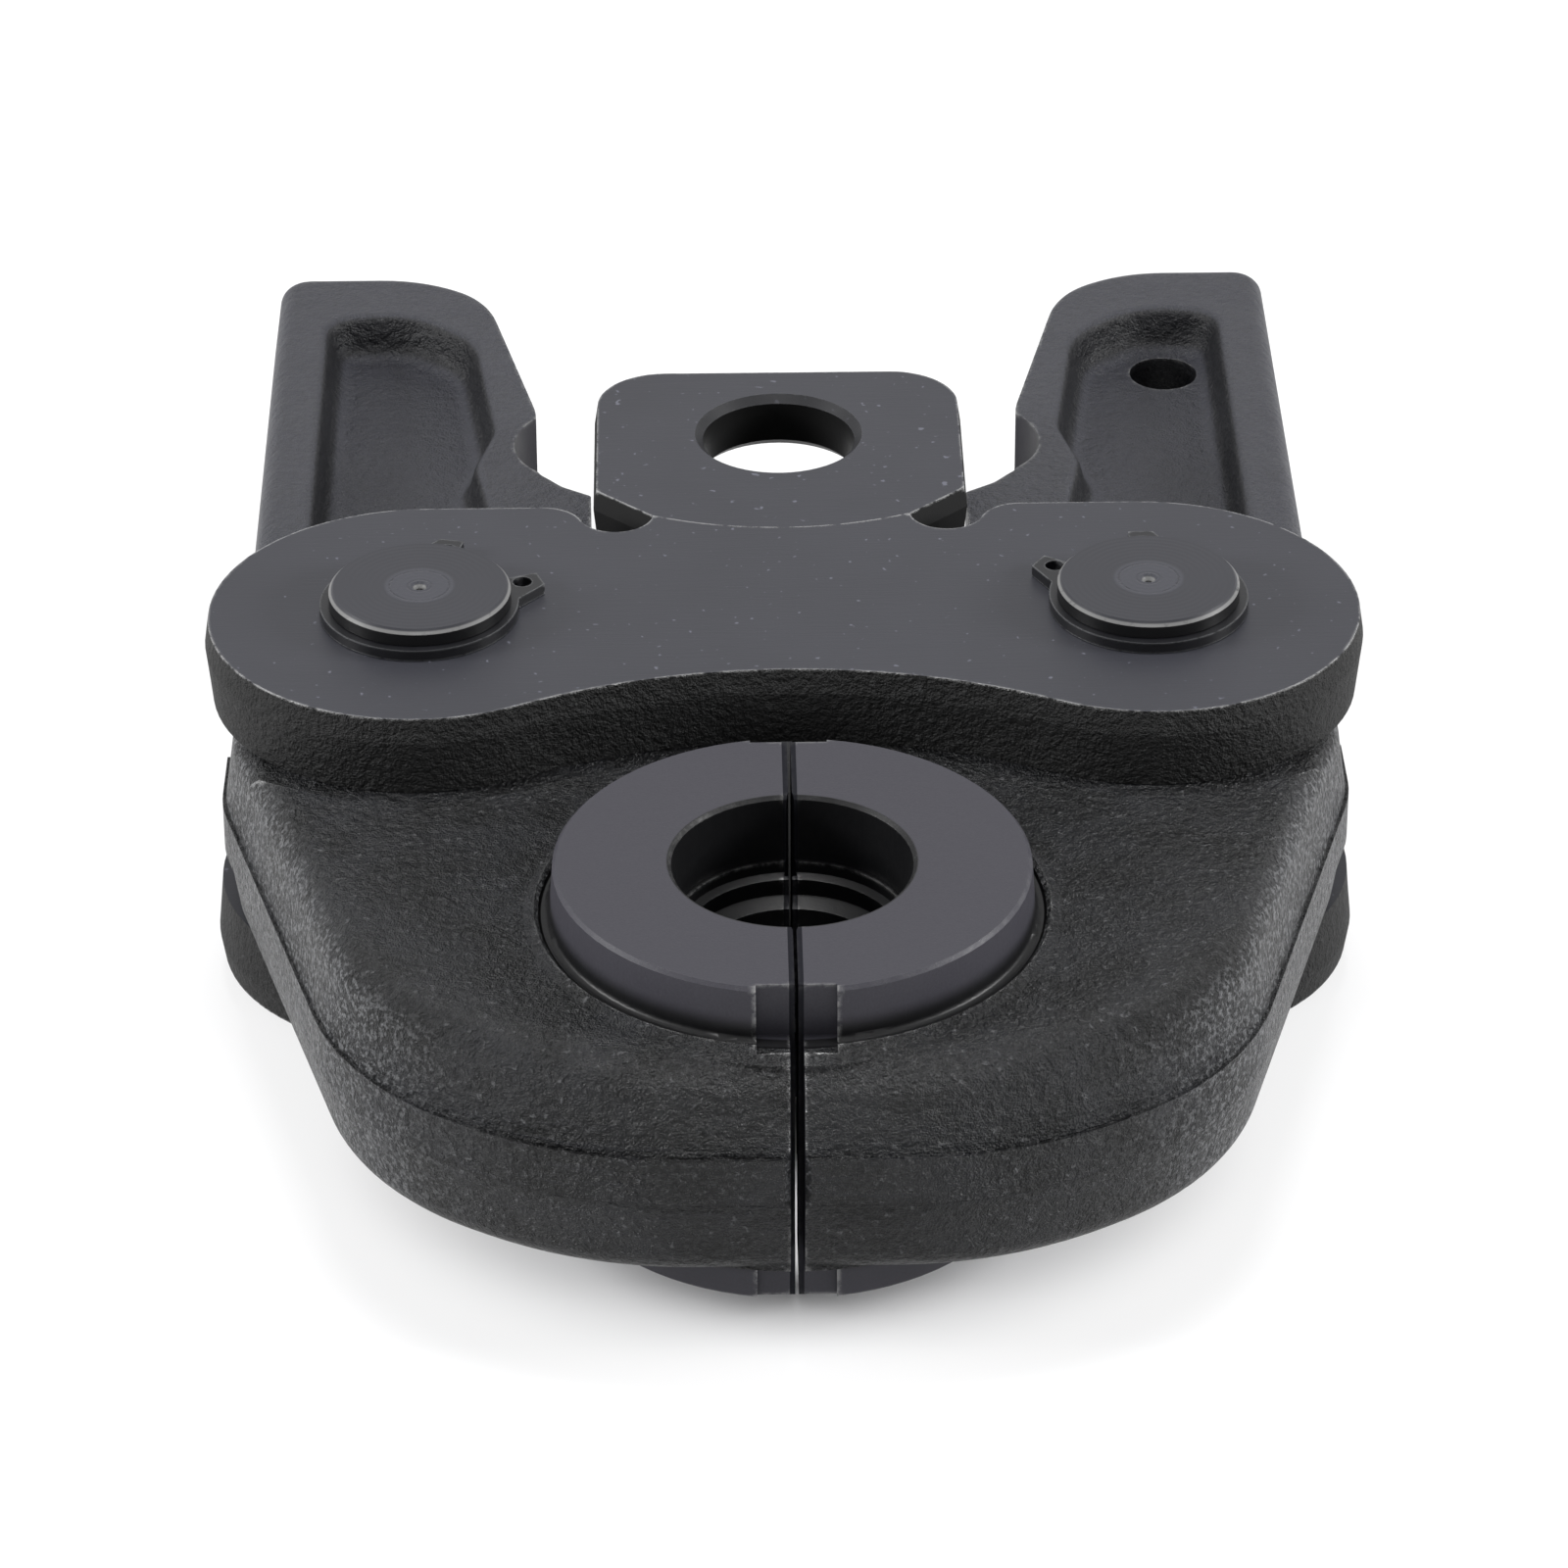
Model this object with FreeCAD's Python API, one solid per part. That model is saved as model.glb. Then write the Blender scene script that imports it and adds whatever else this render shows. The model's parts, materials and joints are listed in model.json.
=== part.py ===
# Pipe pressing jaw: two forged jaws on two pivot pins between two bearing plates.
#
# Millimetres. The origin is the centre of the tool pin's bore, half way between the two plates.
# +Y points to the tool, -Y to the pressing die, +X to the right jaw, +Z up through the upper plate.

import FreeCAD, Part
import math
import os

V = FreeCAD.Vector
UP = V(0, 0, 1)

# Layout of the axes
pivot_spacing = 64.0            # between the two pivot pins
tool_to_pivot = 33.2            # tool pin back to the pivot pins' line
pivot_to_die = 39.5             # pivot pins' line to the centre of the die

# Bearing plates
plate_gap = 19.0                # clear height between the two plates
plate_thickness = 7.4
lobe_radius = 19.0              # round end about each pivot pin
waist_front = 11.1              # front edge ahead of the pivot line, half way between the pins
plate_ridge_depth = 2.3         # forging line on the plate's edge, below the outer face
plate_top_inset = 0.35          # how far the edge falls back from the forging line to the outer face
plate_inner_inset = 0.5         # and to the inner face
shoulder_corner = 4.0           # round corner where the rear edge turns down to the notch
shoulder_corner_x = 21.5        # centre of that corner, from the middle
notch_radius = 3.0              # relief notch beside the tab
notch_x = 14.9
tab_width = 34.0
tab_reach = 12.2                # tab's end behind the tool pin
tab_corner = 6.5
tab_neck_x = 11.2               # where the tab's slanted edge leaves the notch
tab_neck_y = 0.53               # ahead of the notch's centre
tab_flare_y = 4.97              # where that edge reaches the tab's full width, behind the notch's centre
tab_outer_drop = 0.4            # milled outer face of the tab, below the plate's face
tab_inner_drop = 1.8            # relieved inner face of the tab
tab_mill_radius = 29.0          # arc of the milled shoulder
tab_mill_y = 4.4                # foremost point of that arc, ahead of the plate's rear edge
tool_bore = 14.0
tool_bore_chamfer = 0.7

# Pivot pins and circlips
pin_diameter = 16.0
pin_proud = 2.6                 # end of the pin beyond the plate's outer face
pin_chamfer = 0.4
centre_spot_radius = 0.8
centre_spot_depth = 0.7
groove_diameter = 15.2
groove_width = 1.1
circlip_thickness = 1.0
circlip_back_width = 1.2        # radial width opposite the gap
circlip_end_width = 1.0         # radial width beside the lugs
circlip_lug_side = 1.1          # from the lug hole's middle line to the gap
circlip_lug_rise = 1.85         # lug hole's centre above the ring's inner edge
circlip_lug_top = 1.7           # metal beyond the hole's centre
circlip_lug_tip = 1.1           # outer corner of the lug, from the hole's middle line
circlip_lug_foot = 3.0          # where the lug's slanted side meets the ring, from that line
circlip_hole = 1.7
circlip_lug_angle = 28.5        # each lug from the middle of the gap, in degrees
circlip_turns = {               # direction of each circlip's gap, in degrees from +X
    "upper_left_circlip": 48.5,
    "upper_right_circlip": 118.5,
    "lower_left_circlip": 250.0,
    "lower_right_circlip": 205.0,
}

# Fits
pin_in_plate_clearance = 0.03
pin_in_jaw_clearance = 0.06
jaw_side_clearance = 0.1        # between a jaw's flat and a plate's inner face
plate_edge_clearance = 2.0      # between the plates' front edge and the foot of the step on the jaws
plate_step_lean = 1.0           # how far that step falls back from its foot to its top
die_split_gap = 0.3             # between the two die faces when closed
body_split_gap = 1.1            # between the two bodies ahead of and behind the die
groove_clearance = 0.05
spring_clearance = 0.5          # round the spring in its seat
spring_end_clearance = 0.1

# Forged jaw bodies
body_height = 21.0
flash_height = 4.4              # trimmed band round the middle of the forging
flash_step = 0.3                # how far that band stands proud
forging_draft = 1.2             # lean of the side wall over the height of the body
body_front = 5.1                # wall of the forging ahead of the die's ring
front_bend_x = 18.2
front_bend_radius = 35.0
body_corner_x = 37.3
body_corner_y = 13.2            # ahead of the die's centre
body_corner_radius = 28.0
shoulder_x = 17.7               # widest point beside the pivot pin
shoulder_y = 8.4                # ahead of the pivot line
shoulder_radius = 15.0
body_edge_radius = 3.2
split_edge_chamfer = 0.5

# Tails that the tool's rollers push apart
tail_outer_x = 17.3             # outer edge beside the pivot axis
tail_outer_y = 24.0             # where the outer edge runs straight, behind the pivot line
tail_reach = 81.4               # end of the tail behind the pivot line
tail_end_corner = 4.0
tail_ramp_corner = 15.0
tail_ramp_x = 29.45             # ramp produced to the end of the tail
tail_ramp_foot_x = 22.75
tail_ramp_foot_y = 51.0
tail_heel_x = 22.4
tail_heel_y = 38.7
tail_face_x = 17.4              # straight inner face, which the tool's nose passes
tail_face_y = 35.3
tail_face_front = 25.0
tail_edge_radius = 2.0
inner_stock = 3.0               # forged metal that is milled off the inner faces
ramp_run_out = 0.2              # the milled ramp leaves the tail's end at a shallow angle
tail_foot_radius = 12.0         # where the ramp turns into the straight beside the roller notch
inner_round = 2.2               # outward corners of the inner face
inner_hollow = 1.6              # its inward corners
roller_notch_radius = 7.6
roller_notch_x = 17.1
roller_notch_y = 44.6

# Forged pocket in both faces of each tail
pocket_depth = 4.0
pocket_lean = 1.1
pocket_outer_rim = 6.1          # from the tail's outer edge
pocket_end_rim = 9.5            # from the tail's end
pocket_peak_x = 35.5
pocket_shoulder_x = 28.9
pocket_shoulder_y = 15.8        # ahead of the tail's end
pocket_waist_x = 26.6
pocket_waist_y = 47.4
pocket_web_x = 28.3
pocket_web_y = 40.6
pocket_foot_x = 25.6
pocket_foot_y = 24.5
pocket_boss_radius = 14.5       # solid ground left round the pivot pin
pocket_end_slope = 1.5          # the rim's fall from its peak to its outer corner
pocket_corner = 3.2
pocket_bend = 7.5
pocket_waist_bend = 5.0
pocket_floor_radius = 2.0
pocket_rim_radius = 1.0
tail_hole = 6.5                 # in the right tail only
tail_hole_x = 37.8
tail_hole_y = 16.3              # ahead of the tail's end

# Closing spring between the two jaws and its seats
seat_x = 11.5
seat_front_y = 6.0              # behind the pivot line
seat_rear_y = 20.0
throat_y = 12.0                 # ahead of the pivot line, where the jaws' inner faces would cross
seat_depth = 4.0
spring_outer = 10.0
spring_wire = 1.4
spring_turns = 6
spring_turn_gap = 0.2           # between the close turns at its ends

# Pressing die
die_height = 30.6
die_ring_radius = 20.0
die_ring_lean = 0.3             # growth of the ring's radius down to its foot
die_foot_radius = 0.5           # hollow round the foot of the ring
die_floor_width = 0.3           # turned floor outside that hollow
die_edge_break = 0.3
die_pad_rise = 0.5              # forged rise left standing round the turned foot
die_pad_width = 1.6
die_pad_fall = 0.4
die_flat_width = 6.6            # flats on the ring at the split
die_flat_depth = 0.9
die_flat_reach = 3.0            # of the cutter beyond that, past the forged rise's crest
flank_radius = 10.1             # wide outer part of the die's bore
flank_length = 5.9
bore_chamfer = 0.3
step_radius = 9.65              # first step below the flank
step_length = 1.0
throat_radius = 9.0             # second step, behind a bevel
throat_bevel = 0.35
throat_length = 1.5
rib_radius = 7.8                # the two ribs that press the sleeve
rib_approach = 0.7
rib_width = 1.6
rib_back = 0.8
groove_radius = 9.2             # recess between the ribs
bore_corner_radius = 0.8        # rounded corners of the bore at the split

# Worked out from the sizes above
pin_x = pivot_spacing / 2
pin_y = -tool_to_pivot
die_y = pin_y - pivot_to_die
rear_y = pin_y + lobe_radius
pin_radius = pin_diameter / 2
inner_z = plate_gap / 2
outer_z = inner_z + plate_thickness
ridge_z = outer_z - plate_ridge_depth
tab_top_z = outer_z - tab_outer_drop
tab_under_z = inner_z + tab_inner_drop
jaw_half = inner_z - jaw_side_clearance
body_half = body_height / 2
flash_half = flash_height / 2
die_half = die_height / 2
body_front_y = die_y - die_ring_radius - body_front
tail_end_y = pin_y + tail_reach
shoulder_line_x = pin_x + shoulder_x
across_x = -6.0                 # the right jaw's plan runs past the middle, to be cut at the split
far = 200.0                     # longer than any piece, for cutting planes
over = 1.0                      # how far a cutter runs past what it cuts
level_tolerance = 0.0005        # within which an edge lies at a height
half_turn = 180
full_turn = 360


def polar(centre, radius, degrees):
    turn = math.radians(degrees)
    return V(centre.x + radius * math.cos(turn), centre.y + radius * math.sin(turn), centre.z)


def line(a, b):
    return Part.LineSegment(a, b).toShape()


def arc(a, middle, b):
    return Part.Arc(a, middle, b).toShape()


def arc_about(centre, radius, start, end):
    # An arc between two angles in degrees, in the plane of its centre.
    middle = (start + end) / 2
    return arc(polar(centre, radius, start), polar(centre, radius, middle), polar(centre, radius, end))


def angle_of(centre, point):
    return math.degrees(math.atan2(point.y - centre.y, point.x - centre.x))


def mirrored_x(shape):
    return shape.mirror(V(0, 0, 0), V(1, 0, 0))


def mirrored_z(shape):
    return shape.mirror(V(0, 0, 0), UP)


def at_height(shape, z):
    moved = shape.copy()
    moved.translate(V(0, 0, z))
    return moved


def prism(wire, bottom, top):
    # A closed flat wire raised into a solid between two heights.
    return Part.Face(at_height(wire, bottom)).extrude(V(0, 0, top - bottom))


def drafted(lower, upper, bottom, top):
    # A solid whose side leans from one outline at the bottom to a matching one at the top.
    return Part.makeLoft([at_height(lower, bottom), at_height(upper, top)], True, True)


def revolved(points, centre):
    # A closed profile of (radius, height) points turned about an upright axis.
    outline = Part.makePolygon([centre + V(r, 0, z) for r, z in points + points[:1]])
    return Part.Face(outline).revolve(centre, UP, full_turn)


def inset_corners(corners, distance):
    # The same rounded outline, anticlockwise, with every side moved inwards.
    count = len(corners)
    sides = []
    for i in range(count):
        a = corners[i]
        b = corners[(i + 1) % count]
        along = V(b[0] - a[0], b[1] - a[1], 0).normalize()
        sides.append((V(a[0] - along.y * distance, a[1] + along.x * distance, 0), along))
    moved = []
    for i in range(count):
        p, d = sides[i - 1]
        q, e = sides[i]
        turn = d.x * e.y - d.y * e.x
        reach = ((q.x - p.x) * e.y - (q.y - p.y) * e.x) / turn
        radius = corners[i][2]
        if radius > 0:
            radius = radius - distance if turn > 0 else radius + distance
        moved.append((p.x + d.x * reach, p.y + d.y * reach, radius))
    return moved


def rounded_wire(corners):
    # A closed outline through (x, y, radius) corners, each rounded by its own arc.
    count = len(corners)
    joints = []
    for i in range(count):
        here = V(corners[i][0], corners[i][1], 0)
        before = (V(corners[i - 1][0], corners[i - 1][1], 0) - here).normalize()
        after = (V(corners[(i + 1) % count][0], corners[(i + 1) % count][1], 0) - here).normalize()
        radius = corners[i][2]
        half = before.getAngle(after) / 2
        cut = radius / math.tan(half)
        bisector = (before + after).normalize()
        middle = here + bisector * (radius / math.sin(half) - radius)
        joints.append((here + before * cut, middle, here + after * cut, radius))
    edges = []
    for i in range(count):
        start, middle, end, radius = joints[i]
        if radius > 0:
            edges.append(arc(start, middle, end))
        edges.append(line(end, joints[(i + 1) % count][0]))
    return Part.Wire(edges)


def edges_at(solid, height):
    # The edges that lie flat at one height.
    level = []
    for edge in solid.Edges:
        box = edge.BoundBox
        if abs(box.ZMin - height) < level_tolerance and abs(box.ZMax - height) < level_tolerance:
            level.append(edge)
    return level


def plate_outline(inset):
    # Outline of a bearing plate, moved inwards all round by the inset: two lobes joined by a
    # waist arc that is tangent to both, a straight rear edge, relief notches and the tool's tab.
    lobe = V(pin_x, pin_y, 0)
    waist_radius = (waist_front ** 2 + pin_x ** 2 - lobe_radius ** 2) / (2 * (lobe_radius - waist_front))
    waist = V(0, pin_y - waist_front - waist_radius, 0)
    touch = angle_of(waist, lobe)
    corner = V(shoulder_corner_x, rear_y - shoulder_corner, 0)
    reach = shoulder_corner + notch_radius
    notch = V(notch_x, corner.y + math.sqrt(reach ** 2 - (corner.x - notch_x) ** 2), 0)
    meet = angle_of(corner, notch)
    # The tab's slanted edge, moved inwards, from the notch's arc to the tab's side.
    neck = V(tab_neck_x, notch.y - tab_neck_y, 0)
    flare = V(tab_width / 2, notch.y + tab_flare_y, 0)
    along = (flare - neck).normalize()
    neck = neck + V(-along.y, along.x, 0) * inset
    side_x = tab_width / 2 - inset
    flare = neck + along * ((side_x - neck.x) / along.x)
    across = neck - notch
    mid = across.dot(along)
    cut = -mid - math.sqrt(mid ** 2 - across.dot(across) + (notch_radius + inset) ** 2)
    cusp = neck + along * cut
    end_y = tab_reach - inset
    tab_round = tab_corner - inset
    right = [
        arc_about(waist, waist_radius + inset, 90, touch),
        arc_about(lobe, lobe_radius - inset, touch + 180, 270),
        arc_about(lobe, lobe_radius - inset, -90, 90),
        line(V(pin_x, rear_y - inset, 0), V(corner.x, rear_y - inset, 0)),
        arc_about(corner, shoulder_corner - inset, 90, meet),
        arc_about(notch, notch_radius + inset, meet - 180, angle_of(notch, cusp) - 360),
        line(cusp, flare),
        line(flare, V(side_x, end_y - tab_round, 0)),
        arc_about(V(side_x - tab_round, end_y - tab_round, 0), tab_round, 0, 90),
        line(V(side_x - tab_round, end_y, 0), V(0, end_y, 0)),
    ]
    left = [mirrored_x(edge) for edge in right]
    return Part.Wire(Part.__sortEdges__(right + left))


def tab_side_of_shoulder(bottom, top):
    # Everything behind the milled arc that crosses the plate at the root of the tab.
    centre = V(0, rear_y - tab_mill_y + tab_mill_radius, bottom)
    disc = Part.makeCylinder(tab_mill_radius, top - bottom, centre)
    behind = Part.makeBox(2 * tab_mill_radius, far, top - bottom, V(-tab_mill_radius, centre.y, bottom))
    return disc.fuse(behind)


def bearing_plate():
    # Upper plate, with its leaning forged edge, the milled tab and the three bores.
    ridge = plate_outline(0)
    plate = drafted(plate_outline(plate_inner_inset), ridge, inner_z, ridge_z)
    plate = plate.fuse(drafted(ridge, plate_outline(plate_top_inset), ridge_z, outer_z))
    plate = plate.cut(tab_side_of_shoulder(tab_top_z, outer_z + over))
    plate = plate.cut(tab_side_of_shoulder(inner_z - over, tab_under_z))
    for x in (-pin_x, pin_x):
        bore = Part.makeCylinder(pin_radius + pin_in_plate_clearance, far, V(x, pin_y, 0))
        plate = plate.cut(bore)
    r = tool_bore / 2
    c = tool_bore_chamfer
    bottom = tab_under_z - over
    top = tab_top_z + over
    bore = revolved([(0, bottom), (r + c + over, bottom), (r, tab_under_z + c),
                     (r, tab_top_z - c), (r + c + over, top), (0, top)], V(0, 0, 0))
    return plate.cut(bore).removeSplitter()


def pivot_pin(x):
    # Turned pin with a circlip groove, a chamfer and a centre spot at each end.
    end = outer_z + pin_proud
    near = outer_z
    away = outer_z + groove_width
    r = pin_radius
    g = groove_diameter / 2
    c = pin_chamfer
    upper = [(r, 0), (r, near), (g, near), (g, away), (r, away), (r, end - c), (r - c, end),
             (centre_spot_radius, end), (0, end - centre_spot_depth)]
    lower = [(radius, -z) for radius, z in reversed(upper[1:])]
    return revolved(lower + upper[1:], V(x, pin_y, 0))


def circlip_lug(centre, inner, degrees, side):
    # One ear of a circlip: square to its gap, slanted on the side where it joins the ring.
    hole = inner + circlip_lug_rise
    outline = [(inner, -circlip_lug_side), (hole + circlip_lug_top, -circlip_lug_side),
               (hole + circlip_lug_top, circlip_lug_tip), (inner, circlip_lug_foot)]
    points = [centre + V(along, across * side, 0) for along, across in outline + outline[:1]]
    lug = Part.Face(Part.makePolygon(points)).extrude(UP * circlip_thickness)
    lug = lug.cut(Part.makeCylinder(circlip_hole / 2, circlip_thickness, centre + V(hole, 0, 0)))
    lug.rotate(centre, UP, degrees)
    return lug


def circlip(x, below, turn):
    # Flat ring that sits in the groove: widest opposite its gap, with two holed lugs.
    centre = V(x, pin_y, 0)
    inner = groove_diameter / 2 + groove_clearance
    outer = inner + (circlip_back_width + circlip_end_width) / 2
    shift = polar(V(0, 0, 0), (circlip_back_width - circlip_end_width) / 2, turn + half_turn)
    ring = Part.makeCylinder(outer, circlip_thickness, centre + shift)
    bore = Part.makeCylinder(inner, circlip_thickness, centre)
    open_angle = circlip_lug_angle - math.degrees(circlip_lug_side / inner)
    reach = outer * 2
    wedge = Part.makePolygon([centre, polar(centre, reach, turn - open_angle), polar(centre, reach, turn),
                              polar(centre, reach, turn + open_angle), centre])
    ring = ring.cut([bore, Part.Face(wedge).extrude(UP * circlip_thickness)])
    for side in (-1, 1):
        lug = circlip_lug(centre, inner, turn + side * circlip_lug_angle, side)
        ring = ring.fuse(lug.cut(bore))
    play = (groove_width - circlip_thickness) / 2
    ring.translate(V(0, 0, outer_z + play))
    ring = mirrored_z(ring) if below else ring
    return ring.removeSplitter()


def outer_corners():
    # Forged side of the right jaw's plan, from the front of the split round to the tail's end.
    return [
        (across_x, body_front_y, 0),
        (front_bend_x, body_front_y, front_bend_radius),
        (body_corner_x, die_y - body_corner_y, body_corner_radius),
        (shoulder_line_x, pin_y - shoulder_y, shoulder_radius),
        (pin_x + tail_outer_x, pin_y + tail_outer_y, shoulder_radius),
        (pin_x + tail_outer_x, tail_end_y, tail_end_corner),
    ]


def inner_corners(ramp_end_y):
    # Its inner side, from the ramp at the tail's end forward to the throat behind the die.
    slope = (tail_ramp_x - tail_ramp_foot_x) / (tail_reach - tail_ramp_foot_y)
    return [
        (tail_ramp_x + slope * (ramp_end_y - tail_end_y), ramp_end_y, tail_ramp_corner),
        (tail_ramp_foot_x, pin_y + tail_ramp_foot_y, tail_foot_radius),
        (tail_heel_x, pin_y + tail_heel_y, inner_hollow),
        (tail_face_x, pin_y + tail_face_y, inner_round),
        (tail_face_x, pin_y + tail_face_front, inner_hollow),
        (seat_x, pin_y + seat_rear_y, inner_round),
        (seat_x, pin_y + seat_front_y, inner_hollow),
        (across_x, pin_y - throat_y, 0),
    ]


def forged_corners():
    # The whole plan as forged, anticlockwise, with stock left on the inner side.
    inner = [(x - inner_stock, y, radius) for x, y, radius in inner_corners(tail_end_y)[:-1]]
    return outer_corners() + inner + [(across_x, pin_y - throat_y, 0)]


def front_corners():
    # The forged plan closed behind the pivot pin, for the thick front of the jaw.
    corners = outer_corners()[:5]
    return corners + [(across_x, corners[-1][1], 0)]


def inner_milling():
    # All that is milled off the inner side, full height, down to its finished faces.
    inner = inner_corners(tail_end_y + ramp_run_out)
    start_y = inner[0][1]
    clear_x = -2 * far
    plan = [(pin_x + tail_outer_x, start_y, 0)] + inner + [(clear_x, pin_y - throat_y, 0), (clear_x, far, 0),
                                                          (pin_x + tail_outer_x, far, 0)]
    return prism(rounded_wire(plan), -far, far)


def drafted_half(corners, height, edge_radius):
    # One half of the forging above its flash band, with a leaning side and a rounded rim.
    lean = forging_draft * (height - flash_half) / (body_half - flash_half)
    foot = rounded_wire(inset_corners(corners, flash_step))
    head = rounded_wire(inset_corners(corners, flash_step + lean))
    half = drafted(foot, head, flash_half, height)
    rim = [edge for edge in edges_at(half, height) if edge.BoundBox.XMax > 0]
    return half.makeFillet(edge_radius, rim)


def under_plates(clearance):
    # The plan of all that lies under or behind the plates, with room for their front edge.
    lobe = V(pin_x, pin_y, 0)
    reach = lobe_radius + clearance
    front = waist_front + clearance
    waist_radius = (front ** 2 + pin_x ** 2 - reach ** 2) / (2 * (reach - front))
    waist = V(0, pin_y - front - waist_radius, 0)
    touch = angle_of(waist, lobe)
    start = math.degrees(math.acos(2 * across_x / waist_radius))
    left = polar(waist, waist_radius, start)
    right = lobe + V(reach, 0, 0)
    edges = [
        arc_about(waist, waist_radius, start, touch),
        arc_about(lobe, reach, touch + 180, 360),
        line(right, V(right.x, far, 0)),
        line(V(right.x, far, 0), V(left.x, far, 0)),
        line(V(left.x, far, 0), left),
    ]
    return Part.Wire(edges)


def forging():
    # The drop forging: flash band, a thick front for the die and thinner flanks between the plates.
    corners = forged_corners()
    tails = Part.makeBox(2 * far, far, 2 * far, V(-far, pin_y, -far))
    band = prism(rounded_wire(corners), -flash_half, flash_half).cut(tails)
    band = band.fuse(prism(rounded_wire(inset_corners(corners, flash_step)), -flash_half, flash_half))
    foot = under_plates(plate_edge_clearance)
    behind = drafted(foot, under_plates(plate_edge_clearance + plate_step_lean), jaw_half, body_half)
    behind = behind.fuse(prism(foot, 0, jaw_half))
    front = drafted_half(front_corners(), body_half, body_edge_radius).cut(behind)
    rear = drafted_half(corners, jaw_half, tail_edge_radius).common(prism(foot, 0, jaw_half))
    upper = front.fuse(rear)
    return band.fuse([upper, mirrored_z(upper)])


def boss_half_profile():
    # The upper half of the boss: its ring, the hollow turned round its foot and the forged rise.
    top = die_half
    floor = body_half
    r = die_ring_radius
    wide = r + die_ring_lean
    hollow = V(wide + die_foot_radius, 0, floor + die_foot_radius)
    lift = die_foot_radius * (1 - math.sqrt(0.5))
    foot = V(hollow.x, 0, floor)
    ridge = foot.x + die_floor_width + die_pad_rise
    rim = ridge + die_pad_width
    return [
        line(V(0, 0, top), V(r - die_edge_break, 0, top)),
        line(V(r - die_edge_break, 0, top), V(r, 0, top - die_edge_break)),
        line(V(r, 0, top - die_edge_break), V(wide, 0, hollow.z)),
        arc(V(wide, 0, hollow.z), V(wide + lift, 0, floor + lift), foot),
        line(foot, V(foot.x + die_floor_width, 0, floor)),
        line(V(foot.x + die_floor_width, 0, floor), V(ridge, 0, floor + die_pad_rise)),
        line(V(ridge, 0, floor + die_pad_rise), V(rim, 0, floor - die_pad_fall)),
        line(V(rim, 0, floor - die_pad_fall), V(rim, 0, 0)),
    ]


def die_boss():
    # The turned ring on both faces and the forged rise that it stands in.
    upper = boss_half_profile()
    lower = [mirrored_z(edge) for edge in upper]
    axis = line(V(0, 0, -die_half), V(0, 0, die_half))
    outline = Part.Wire(Part.__sortEdges__(upper + lower + [axis]))
    boss = Part.Face(outline).revolve(V(0, 0, 0), UP, full_turn)
    boss.translate(V(0, die_y, 0))
    return boss


def die_bore():
    # The pressing profile: a flank, two steps down to a rib, and a groove between the ribs.
    top = die_half
    step = top - bore_chamfer - flank_length
    bevel = step - step_length
    throat = bevel - throat_bevel
    approach = throat - throat_length
    rib_top = approach - rib_approach
    rib_foot = rib_top - rib_width
    upper = [(flank_radius + bore_chamfer + over, top + over), (flank_radius, top - bore_chamfer),
             (flank_radius, step), (step_radius, step), (step_radius, bevel), (throat_radius, throat),
             (throat_radius, approach), (rib_radius, rib_top), (rib_radius, rib_foot),
             (groove_radius, rib_foot - rib_back)]
    lower = [(radius, -z) for radius, z in reversed(upper)]
    return revolved([(0, top + over)] + upper + lower + [(0, -top - over)], V(0, die_y, 0))


def die_flats():
    # Flats milled on the ring at the split, front and rear, down to the forging.
    depth = die_half - body_half
    flats = []
    for side in (-1, 1):
        near = die_y + side * (die_ring_radius - die_flat_depth)
        y = min(near, near + side * die_flat_reach)
        for bottom in (body_half, -die_half):
            corner = V(-die_flat_width / 2, y, bottom)
            flats.append(Part.makeBox(die_flat_width, die_flat_reach, depth, corner))
    return flats


def upright(points):
    # A full-height cutter from a closed plan of (x, y) points.
    plan = Part.makePolygon([V(x, y, -far) for x, y in points + points[:1]])
    return Part.Face(plan).extrude(UP * 2 * far)


def split_cut():
    # All that lies across the middle: the die faces almost meet, the bodies stand further apart.
    face = die_split_gap / 2
    relief = body_split_gap / 2
    c = split_edge_chamfer
    front = die_y - die_ring_radius + die_flat_depth
    rear = die_y + die_ring_radius - die_flat_depth
    cut = upright([(-far, body_front_y - c), (relief + 2 * c, body_front_y - c), (relief, body_front_y + c),
                   (relief, front), (face, front), (face, rear), (relief, rear), (relief, far), (-far, far)])
    # The bore's corners at the split are broken.
    for side in (-1, 1):
        y = die_y + side * flank_radius
        r = bore_corner_radius
        cut = cut.fuse(upright([(face - r, y - side * r), (face + r / 2, y - side * r), (face, y + side * r),
                                (face - r, y + side * r)]))
    return cut


def pocket_corners():
    # Rim of the tail's pocket, which follows the tail's edge and leaves a boss round the pin.
    boss_y = pin_y + pocket_boss_radius
    outer_x = pin_x + tail_outer_x - pocket_outer_rim
    end_y = tail_end_y - pocket_end_rim
    return [
        (outer_x, boss_y, pocket_corner),
        (outer_x, end_y - pocket_end_slope, pocket_corner),
        (pocket_peak_x, end_y, pocket_bend),
        (pocket_shoulder_x, tail_end_y - pocket_shoulder_y, pocket_bend),
        (pocket_waist_x, pin_y + pocket_waist_y, pocket_waist_bend),
        (pocket_web_x, pin_y + pocket_web_y, pocket_waist_bend),
        (pocket_foot_x, pin_y + pocket_foot_y, pocket_waist_bend),
        (pocket_foot_x, boss_y, pocket_corner),
    ]


def tail_pocket():
    # The upper pocket as a solid to be cut away: leaning walls and a rounded floor.
    rim = pocket_corners()
    floor = inset_corners(rim, pocket_lean)
    bottom = jaw_half - pocket_depth
    slope = pocket_lean / pocket_depth
    above = inset_corners(rim, -slope * over)
    solid = drafted(rounded_wire(floor), rounded_wire(above), bottom, jaw_half + over)
    return solid.makeFillet(pocket_floor_radius, edges_at(solid, bottom))


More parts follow.
